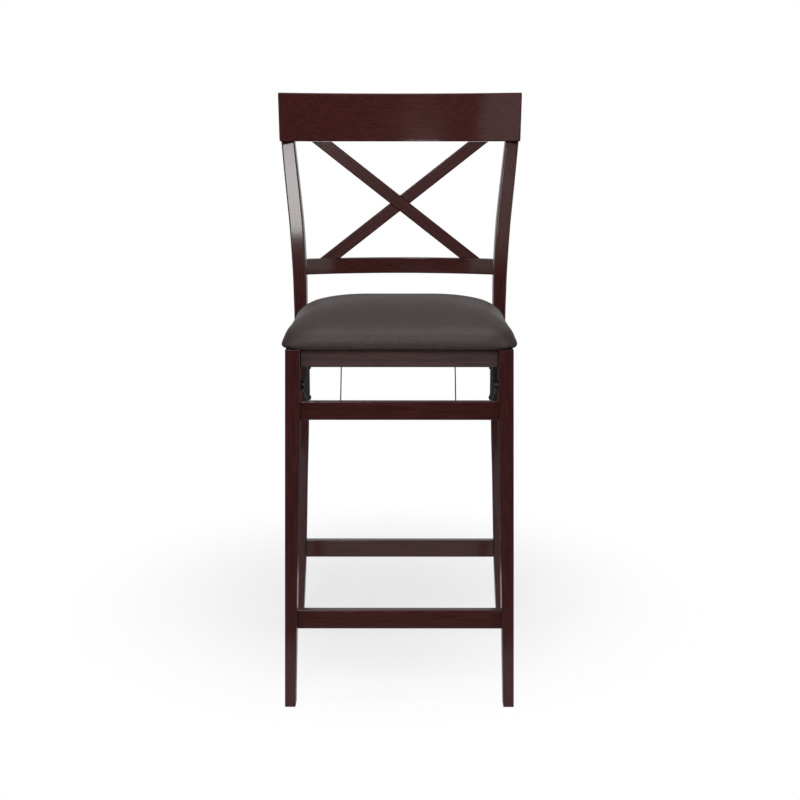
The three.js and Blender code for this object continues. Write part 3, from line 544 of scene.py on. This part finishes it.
def slat_grid(side, whole_in_front):
    """Rings of a bar whose section loses its back or front half between two slanted lines. At the
    notch a point a across from the bar's middle slides by -side * a * climb / 2 along its height."""
    cross_share = slat_spread_bottom / (slat_spread_bottom + slat_spread_top)
    cross_z = slat_low + (slat_high - slat_low) * cross_share
    half = slat_width / 2 / math.sin(slat_lean)
    reach = (half + slat_gap) * slat_climb / 2
    tight, fade, inset, spans = 0.0002, 0.02, 0.004, 8
    steps = np.array([-2 * tight, -tight, 0, tight])
    ends = np.array([0, tight, 2 * tight])
    z = np.r_[slat_low + ends, np.linspace(slat_low + inset, cross_z - reach - fade, spans),
              cross_z - reach + steps, cross_z + reach - steps[::-1],
              np.linspace(cross_z + reach + fade, slat_high - inset, spans), slat_high - ends[::-1]]
    notch = np.abs(z - cross_z) < reach + tight / 2
    front = np.where(notch & (not whole_in_front), slat_gap / 2, -slat_thickness / 2)
    back = np.where(notch & whole_in_front, -slat_gap / 2, slat_thickness / 2)
    x = side * ((z - slat_low) / slat_climb - slat_spread_bottom / 2)
    y = slat_low_y + slat_lie * (z - slat_low)
    grid = carry_board(
        rows(x, y + (front + back) / 2, z), rows(1 / math.sin(slat_lean), 0, 0 * z), rows(0, 1, 0 * z),
        slat_width / 2, (back - front) / 2, slat_ease, 0 * z,
    )
    near = np.clip(1 - (np.abs(z - cross_z) - reach - 2 * tight) / fade, 0, 1)[:, None]
    slide = -side * (grid[..., 0] - x[:, None]) * slat_climb / 2 * near
    grid += slide[..., None] * np.array([side / slat_climb, slat_lie, 1])
    return grid


for name, side, whole_in_front in (("front", -1, True), ("rear", 1, False)):
    slat = skin(f"x_slat_bar_{name}", slat_grid(side, whole_in_front))
    slat_finish = wood_finish(f"slat_finish_{name}", (0, side * slat_lean, 0), (0.1, 0.2 * side, 0.4),
                              lacquer=0.3)
    dress(slat, slat_finish, "back_frame", "espresso_wood", f"x_slat_{name}")

# Rear stretcher: a straight rail tenoned between the rear legs, low down.


def straight_rail(name, low, high, half_low, half_high):
    """A straight rail along X between leaning faces, half_low and half_high from the middle."""
    middle = (low + high) / 2
    half = (half_low + half_high) / 2 - joint_gap
    x, drawn_in = board_stations(-half, half, end_ease, count=24)
    lean = (half_high - half_low) / (high.z - low.z) * x / half
    return skin(name, carry_board(
        rows(x, middle.y, middle.z), rows(lean, 0, 1), rows(0, 1, 0 * x),
        (high.z - low.z) / 2, (high.y - low.y) / 2, rail_ease, drawn_in,
    ))


low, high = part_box("rear_stretcher")
rear_stretcher = straight_rail("rear_stretcher_rail", low, high,
                               post_faces(low.z)[0], post_faces(high.z)[0])
rear_stretcher_finish = wood_finish("rear_stretcher_finish", grain_turns["x"], (0.5, 0.1, 0.2),
                                    lacquer=0.7)
dress(rear_stretcher, rear_stretcher_finish, "back_frame", "espresso_wood", "rear_stretcher")

# Front legs: straight boards with an upright front face. The inner face tapers below the seat
# frame, the outer one leans out a little and the depth tapers to the foot.
leg_gap_seat = 0.312
leg_gap_foot = 0.3386
leg_span_seat = 0.359
leg_span_foot = 0.373
leg_taper_start = 0.541
leg_depth_seat = 0.048
leg_depth_foot = 0.030
leg_ease = 0.0016
leg_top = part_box("front_leg_left")[1].z


def leg_faces(z):
    """Inner X, outer X and depth of a front leg at height z."""
    fall = (leg_top - z) / leg_top
    taper = np.maximum((leg_taper_start - z) / leg_taper_start, 0)
    inner = (leg_gap_seat + (leg_gap_foot - leg_gap_seat) * taper) / 2
    outer = (leg_span_seat + (leg_span_foot - leg_span_seat) * fall) / 2
    return inner, outer, leg_depth_seat + (leg_depth_foot - leg_depth_seat) * fall


for name, side in (("left", -1), ("right", 1)):
    low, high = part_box(f"front_leg_{name}")
    z, drawn_in = board_stations(low.z, high.z, end_ease, count=60)
    inner, outer, depth = leg_faces(z)
    leg = skin(f"front_leg_board_{name}", carry_board(
        rows(side * (inner + outer) / 2, front_y + depth / 2, z), rows(1, 0, 0 * z), rows(0, 1, 0 * z),
        (outer - inner) / 2, depth / 2, leg_ease, drawn_in,
    ))
    leg_finish = wood_finish(f"leg_finish_{name}", grain_turns["z"], (0.15 * side, 0.25, 0.05))
    dress(leg, leg_finish, "front_frame", "espresso_wood", f"front_leg_{name}")

# Upper stretcher and footrest: rails tenoned between the front legs. The upper one also carries
# the eyes of the two wire stays behind it.
for node_name, shift in (("upper_stretcher", (0.7, 0.3, 0)), ("footrest", (0.9, 0.15, 0.1))):
    low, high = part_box(node_name)
    rail = straight_rail(f"{node_name}_rail", low, high, leg_faces(low.z)[0], leg_faces(high.z)[0])
    rail_finish = wood_finish(f"{node_name}_finish", grain_turns["x"], shift)
    dress(rail, rail_finish, "front_frame", "espresso_wood", node_name)

# Seat frame: an apron in front, a rail on each side and one behind, glued and screwed under the
# plywood board. It is stained a greyer brown than the legs and lacquered less.
frame_tones = {"dark": (0.0600, 0.0365, 0.0350), "light": (0.0900, 0.0560, 0.0535)}
cross_rail_finish = wood_finish("cross_rail_finish", grain_turns["x"], (0.4, 0.6, 0), **frame_tones,
                                roughness=0.42, lacquer=0.05)
side_rail_finish = wood_finish("side_rail_finish", grain_turns["y"], (0.1, 0.2, 0), **frame_tones,
                               roughness=0.42, lacquer=0.05)
for node_name in ("seat_apron", "seat_rail_rear"):
    low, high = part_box(node_name)
    rail = straight_rail(f"{node_name}_board", low, high, high.x + joint_gap, high.x + joint_gap)
    dress(rail, cross_rail_finish, "seat", "espresso_wood", node_name)
for name in ("left", "right"):
    low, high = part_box(f"seat_rail_{name}")
    y, drawn_in = board_stations(low.y, high.y, end_ease, count=20)
    centre = (low + high) / 2
    rail = skin(f"seat_rail_board_{name}", carry_board(
        rows(centre.x, y, centre.z), rows(1, 0, 0 * y), rows(0, 0, 1 + 0 * y),
        (high.x - low.x) / 2, (high.z - low.z) / 2, rail_ease, drawn_in,
    ))
    dress(rail, side_rail_finish, "seat", "espresso_wood", f"seat_rail_{name}")

# Seat board: the frame's own solid, sanded plywood without stain. It is seen from below only.


def finish_node(name, material):
    """Puts a material on a solid that is kept from the frame."""
    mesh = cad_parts[name].data
    mesh.materials.clear()
    mesh.materials.append(material)


finish_node("seat_board", wood_finish(
    "ply_finish", grain_turns["y"], (0, 0, 0), dark=(0.24, 0.155, 0.09), light=(0.36, 0.25, 0.15),
    roughness=0.6, lacquer=0, specular=0.2,
))

# Cushion: foam on the board under one piece of grey-brown vinyl, drawn down over the edges and
# stapled underneath. Its crown is full and its lower edge turns in sharply.
pad_low, pad_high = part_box("cushion")
pad_corner = 0.045
pad_pull_in = 0.0015
pad_section_shares = [
    (0.99, 0.99, 0), (0.999, 0.999, 0.014), (1, 1, 0.046), (0.996, 1, 0.116), (0.981, 0.995, 0.217),
    (0.962, 0.975, 0.341), (0.935, 0.923, 0.45), (0.9, 0.85, 0.545), (0.85, 0.745, 0.65),
    (0.775, 0.625, 0.753), (0.66, 0.49, 0.846), (0.5, 0.335, 0.927), (0.3, 0.18, 0.978), (0.06, 0.03, 1),
]
pad_rings = 72
pad_ring_growth = 1.4
pad_centre = (pad_low + pad_high) / 2
pad_half = (pad_high - pad_low) / 2


def pad_plan(inside, corner_steps, side_steps):
    """Outline of the pad: quarter-circle corners, and sides that bow in by pull_in * (1 - along^2)."""
    half_x, half_y = pad_half.x - inside, pad_half.y - inside
    turn = np.linspace(0, np.pi / 2, corner_steps + 1)
    along = 1 - 2 * np.arange(1, side_steps) / side_steps
    drawn = pad_pull_in * (1 - along**2)
    parts = []
    for quarter, (sx, sy) in enumerate(((1, 1), (-1, 1), (-1, -1), (1, -1))):
        angle = turn + quarter * np.pi / 2
        parts.append(rows(sx * (half_x - pad_corner) + pad_corner * np.cos(angle),
                          sy * (half_y - pad_corner) + pad_corner * np.sin(angle)))
        way = 1 if quarter < 2 else -1
        if quarter % 2 == 0:
            parts.append(rows(way * along * (half_x - pad_corner), way * (half_y - drawn)))
        else:
            parts.append(rows(-way * (half_x - drawn), way * along * (half_y - pad_corner)))
    return np.concatenate(parts)


def pad_grid(inside):
    """Rings of the pad: the plan shrunk by the section's shares, which differ at the front, and raised
    along it. The step from ring to ring grows with the length l from the lower edge, as l^0.29."""
    plan = pad_plan(inside, corner_steps=14, side_steps=26)
    out, front, up = np.array(pad_section_shares).T
    length = np.r_[0, np.cumsum(np.hypot(np.diff(out) * pad_half.x, np.diff(up) * 2 * pad_half.z))]
    along = length[-1] * np.linspace(0, 1, pad_rings) ** pad_ring_growth
    side_share, front_share, rise = (
        smooth_curve(rows(length, share))(along)[:, None] for share in (out, front, up)
    )
    y_share = np.where(plan[:, 1] < 0, front_share, side_share)
    height = pad_high.z - pad_low.z - inside
    return rows(pad_centre.x + plan[:, 0] * side_share, pad_centre.y + plan[:, 1] * y_share,
                pad_low.z + height * rise)


def baked(piece, name):
    """The mesh of a piece with its modifiers applied."""
    mesh = bpy.data.meshes.new_from_object(piece.evaluated_get(bpy.context.evaluated_depsgraph_get()))
    mesh.name = name
    return mesh


def vertex_places(mesh):
    """The mesh's vertices as an array of points."""
    flat = np.empty(len(mesh.vertices) * 3, np.float32)
    mesh.vertices.foreach_get("co", flat)
    return flat.reshape(-1, 3).astype(float)


start_inside = 0.0008
cushion = skin("cushion_pad", pad_grid(start_inside))
# The cover is blown tight by pressure, held where it is stapled
remesh = cushion.modifiers.new("even", "REMESH")
remesh.mode = "VOXEL"
remesh.voxel_size = 0.004
cushion.data = baked(cushion, "cushion_even")
cushion.modifiers.clear()
relaxed = vertex_places(cushion.data)
stapled_height = 0.005
stapled = np.nonzero(relaxed[:, 2] < pad_low.z + stapled_height)[0]
cushion.vertex_groups.new(name="stapled").add(stapled.tolist(), 1.0, "REPLACE")
cover = cushion.modifiers.new("cover", "CLOTH").settings
cover.quality = 5
cover.mass = 0.3
cover.tension_stiffness = 25
cover.compression_stiffness = 25
cover.shear_stiffness = 12
cover.bending_stiffness = 2.0
cover.use_pressure = True
cover.uniform_pressure_force = 4
cover.effector_weights.gravity = 0
cover.vertex_group_mass = "stapled"
for step in range(1, 21):
    bpy.context.scene.frame_set(step)
moved = vertex_places(baked(cushion, "cushion_blown")) - relaxed
bpy.context.scene.frame_set(1)
cushion.modifiers.clear()
most_moved = 0.0022
moved *= np.minimum(1, most_moved / np.maximum(np.linalg.norm(moved, axis=1, keepdims=True), 1e-9))
cushion.data.vertices.foreach_set("co", (relaxed + moved).astype(np.float32).ravel())
cushion.vertex_groups.clear()
calm = cushion.modifiers.new("calm", "SMOOTH")
calm.factor = 0.5
calm.iterations = 6
finer = cushion.modifiers.new("finer", "SUBSURF")
finer.levels = finer.render_levels = 1
cushion.data = baked(cushion, "cushion_tight")
cushion.modifiers.clear()
# The cover's own cut holds it wholly at the stapled edge and mostly on the crown
pattern = skin("cushion_pattern", pad_grid(0))
cushion.modifiers.new("cut", "SHRINKWRAP").target = pattern
blown = vertex_places(cushion.data)
held = vertex_places(baked(cushion, "cushion_held"))
cushion.modifiers.clear()
bpy.data.objects.remove(pattern)
tight_height = 0.008
tight_fade = 0.012
crown_hold = 0.85
freedom = np.clip((blown[:, 2] - pad_low.z - tight_height) / tight_fade, 0, 1)[:, None]
held += (1 - crown_hold) * freedom * (blown - held)
cushion.data.vertices.foreach_set("co", held.astype(np.float32).ravel())

# Small pleats, where the vinyl turns under each corner
pleat_depth = 0.0008
pleat_reach = 0.016
pleats_per_turn = 22
pleat_fade = 1.5
points = vertex_places(cushion.data)
off_centre = points[:, :2] - np.array(pad_centre[:2])
past_corner = np.abs(off_centre) - (np.array(pad_half[:2]) - pad_corner)
at_corner = np.all(past_corner > 0, axis=1)
angle = np.arctan2(past_corner[:, 1], past_corner[:, 0])
low_down = np.clip(1 - (points[:, 2] - pad_low.z) / pleat_reach, 0, 1) ** pleat_fade
pleat = pleat_depth * low_down * at_corner * np.sin(angle * pleats_per_turn) * np.sin(2 * angle).clip(0, 1)
points[:, :2] += pleat[:, None] * rows(np.cos(angle), np.sin(angle)) * np.sign(off_centre)
cushion.data.vertices.foreach_set("co", points.astype(np.float32).ravel())
cushion.data.shade_smooth()
cushion.name = cushion.data.name = "cushion_pad"


def make_leather_group():
    """Grain pressed into vinyl: rounded cells with thin valleys and a slow drift of tone. It gives
    the cells, the drift and a height."""
    warp_reach, valley_width, fine_height = 0.0014, 0.22, 0.25
    group = bpy.data.node_groups.new("pressed_grain", "ShaderNodeTree")
    add_socket(group, "Vector", "NodeSocketVector", "INPUT")
    add_socket(group, "Cells per Metre", "NodeSocketFloat", "INPUT", 900.0)
    add_socket(group, "Cells", "NodeSocketFloat", "OUTPUT")
    add_socket(group, "Drift", "NodeSocketFloat", "OUTPUT")
    add_socket(group, "Height", "NodeSocketFloat", "OUTPUT")
    source = add_node(group, "NodeGroupInput")
    result = add_node(group, "NodeGroupOutput")
    warp = add_node(group, "ShaderNodeTexNoise", Scale=260.0, Detail=2.0, Roughness=0.5)
    pushed = add_node(group, "ShaderNodeVectorMath", operation="MULTIPLY_ADD")
    pushed.inputs[1].default_value = (warp_reach, warp_reach, warp_reach)
    cells = add_node(group, "ShaderNodeTexVoronoi", feature="DISTANCE_TO_EDGE")
    valley = add_node(group, "ShaderNodeMapRange", interpolation_type="SMOOTHSTEP")
    valley.inputs["From Max"].default_value = valley_width
    drift = add_node(group, "ShaderNodeTexNoise", Scale=11.0, Detail=4.0, Roughness=0.6)
    fine = add_node(group, "ShaderNodeTexNoise", Scale=2600.0, Detail=2.0, Roughness=0.6)
    height = add_node(group, "ShaderNodeMath", operation="MULTIPLY_ADD")
    height.inputs[1].default_value = fine_height
    link = group.links.new
    link(source.outputs["Vector"], warp.inputs["Vector"])
    link(warp.outputs["Color"], pushed.inputs[0])
    link(source.outputs["Vector"], pushed.inputs[2])
    link(pushed.outputs[0], cells.inputs["Vector"])
    link(source.outputs["Cells per Metre"], cells.inputs["Scale"])
    link(cells.outputs["Distance"], valley.inputs["Value"])
    link(source.outputs["Vector"], drift.inputs["Vector"])
    link(source.outputs["Vector"], fine.inputs["Vector"])
    link(fine.outputs["Fac"], height.inputs[0])
    link(valley.outputs["Result"], height.inputs[2])
    link(valley.outputs["Result"], result.inputs["Cells"])
    link(drift.outputs["Fac"], result.inputs["Drift"])
    link(height.outputs[0], result.inputs["Height"])
    return group


vinyl_dark = (0.045, 0.0275, 0.0250)
vinyl_light = (0.066, 0.0413, 0.0375)
painted_valley_shade = (0.018, 0.0112, 0.0102)
valley_roughness = 0.50
cell_smoothness = -0.10


def vinyl_finish():
    """Grey-brown vinyl: painted shade in the valleys between the grain's cells, a slow drift of tone, a
    soft sheen.
    """
    material, tree, output = new_material("seat_vinyl")
    place = add_node(tree, "ShaderNodeTexCoord")
    grain = add_node(tree, "ShaderNodeGroup", node_tree=make_leather_group())
    grain.inputs["Cells per Metre"].default_value = 430.0
    tone = add_node(tree, "ShaderNodeMix", data_type="RGBA")
    tone.inputs["A"].default_value = (*vinyl_dark, 1)
    tone.inputs["B"].default_value = (*vinyl_light, 1)
    # Painted shade: the grain's valleys are darkened in the colour
    valley = add_node(tree, "ShaderNodeMix", data_type="RGBA")
    valley.inputs["A"].default_value = (*painted_valley_shade, 1)
    dull = add_node(tree, "ShaderNodeMath", operation="MULTIPLY_ADD")
    dull.inputs[1].default_value = cell_smoothness
    dull.inputs[2].default_value = valley_roughness
    relief = add_node(tree, "ShaderNodeBump", Strength=0.55, Distance=0.0003)
    surface = add_node(tree, "ShaderNodeBsdfPrincipled")
    surface.inputs["Specular IOR Level"].default_value = 0.42
    surface.inputs["Sheen Weight"].default_value = 0.04
    surface.inputs["Sheen Roughness"].default_value = 0.4
    link = tree.links.new
    link(place.outputs["Object"], grain.inputs["Vector"])
    link(grain.outputs["Drift"], tone.inputs["Factor"])
    link(tone.outputs["Result"], valley.inputs["B"])
    link(grain.outputs["Cells"], valley.inputs["Factor"])
    link(valley.outputs["Result"], surface.inputs["Base Color"])
    link(grain.outputs["Cells"], dull.inputs[0])
    link(dull.outputs[0], surface.inputs["Roughness"])
    link(grain.outputs["Height"], relief.inputs["Height"])
    link(relief.outputs[0], surface.inputs["Normal"])
    link(surface.outputs[0], output.inputs["Surface"])
    return material


dress(cushion, vinyl_finish(), "seat", "vinyl", "cushion")

# Folding gear and feet: black powder-coated plates, straps and brackets, black bolts and pins,
# zinc-plated wood screws, black wires and nylon spacers and glides. They keep the frame's solids.


def make_speckle_group():
    """Uneven tone of a coated or plated surface. It gives a fine speckle and a slow smudge."""
    group = bpy.data.node_groups.new("surface_speckle", "ShaderNodeTree")
    add_socket(group, "Vector", "NodeSocketVector", "INPUT")
    add_socket(group, "Fineness", "NodeSocketFloat", "INPUT", 800.0)
    add_socket(group, "Speckle", "NodeSocketFloat", "OUTPUT")
    add_socket(group, "Smudge", "NodeSocketFloat", "OUTPUT")
    source = add_node(group, "NodeGroupInput")
    result = add_node(group, "NodeGroupOutput")
    fine = add_node(group, "ShaderNodeTexNoise", Detail=3.0, Roughness=0.6)
    slow = add_node(group, "ShaderNodeTexNoise", Scale=45.0, Detail=3.0, Roughness=0.6)
    link = group.links.new
    link(source.outputs["Vector"], fine.inputs["Vector"])
    link(source.outputs["Fineness"], fine.inputs["Scale"])
    link(source.outputs["Vector"], slow.inputs["Vector"])
    link(fine.outputs["Fac"], result.inputs["Speckle"])
    link(slow.outputs["Fac"], result.inputs["Smudge"])
    return group


speckle_group = make_speckle_group()


def gear_finish(name, dark, light, metallic, roughness, fineness, relief_strength, specular=0.5):
    """A coated, plated or moulded surface: two tones mixed by the smudge, roughness by the
    speckle."""
    speckle_roughness = 0.2
    material, tree, output = new_material(name)
    place = add_node(tree, "ShaderNodeTexCoord")
    speckle = add_node(tree, "ShaderNodeGroup", node_tree=speckle_group)
    speckle.inputs["Fineness"].default_value = fineness
    tone = add_node(tree, "ShaderNodeMix", data_type="RGBA")
    tone.inputs["A"].default_value = (*dark, 1)
    tone.inputs["B"].default_value = (*light, 1)
    dull = add_node(tree, "ShaderNodeMath", operation="MULTIPLY_ADD")
    dull.inputs[1].default_value = speckle_roughness
    dull.inputs[2].default_value = roughness
    relief = add_node(tree, "ShaderNodeBump", Strength=relief_strength, Distance=0.0001)
    surface = add_node(tree, "ShaderNodeBsdfPrincipled")
    surface.inputs["Metallic"].default_value = metallic
    surface.inputs["Specular IOR Level"].default_value = specular
    link = tree.links.new
    link(place.outputs["Object"], speckle.inputs["Vector"])
    link(speckle.outputs["Smudge"], tone.inputs["Factor"])
    link(tone.outputs["Result"], surface.inputs["Base Color"])
    link(speckle.outputs["Speckle"], dull.inputs[0])
    link(dull.outputs[0], surface.inputs["Roughness"])
    link(speckle.outputs["Speckle"], relief.inputs["Height"])
    link(relief.outputs[0], surface.inputs["Normal"])
    link(surface.outputs[0], output.inputs["Surface"])
    return material


black_coat = gear_finish("black_coat", dark=(0.006, 0.006, 0.006), light=(0.010, 0.0098, 0.0098),
                         metallic=0, roughness=0.42, fineness=1500, relief_strength=0.25,
                         specular=0.45)
black_oxide = gear_finish("black_oxide", dark=(0.045, 0.043, 0.042), light=(0.075, 0.072, 0.07),
                          metallic=1, roughness=0.38, fineness=900, relief_strength=0.05)
zinc_plate = gear_finish("zinc_plate", dark=(0.30, 0.30, 0.32), light=(0.46, 0.46, 0.47),
                         metallic=1, roughness=0.28, fineness=900, relief_strength=0.05)
black_nylon = gear_finish("black_nylon", dark=(0.010, 0.010, 0.011), light=(0.017, 0.017, 0.018),
                          metallic=0, roughness=0.45, fineness=1200, relief_strength=0.1)
dull_wire = gear_finish("dull_wire", dark=(0.005, 0.0046, 0.0046), light=(0.009, 0.0085, 0.0085),
                        metallic=0, roughness=0.5, fineness=1500, relief_strength=0.1,
                        specular=0.15)
gear_finishes = {
    "hinge_plate": black_coat, "side_strap": black_coat, "stay_clip": black_coat,
    "plate_screw": black_oxide, "seat_screw": zinc_plate, "clip_screw": zinc_plate,
    "strap_rivet": black_oxide, "strap_pin": black_oxide, "seat_bolt": black_oxide,
    "seat_nut": black_oxide, "stay_eye": zinc_plate, "seat_spacer": black_nylon,
    "front_foot_pad": black_nylon, "rear_foot_pad": black_nylon, "wire_stay": dull_wire,
}
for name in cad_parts:
    for start, material in gear_finishes.items():
        if name.startswith(start):
            finish_node(name, material)
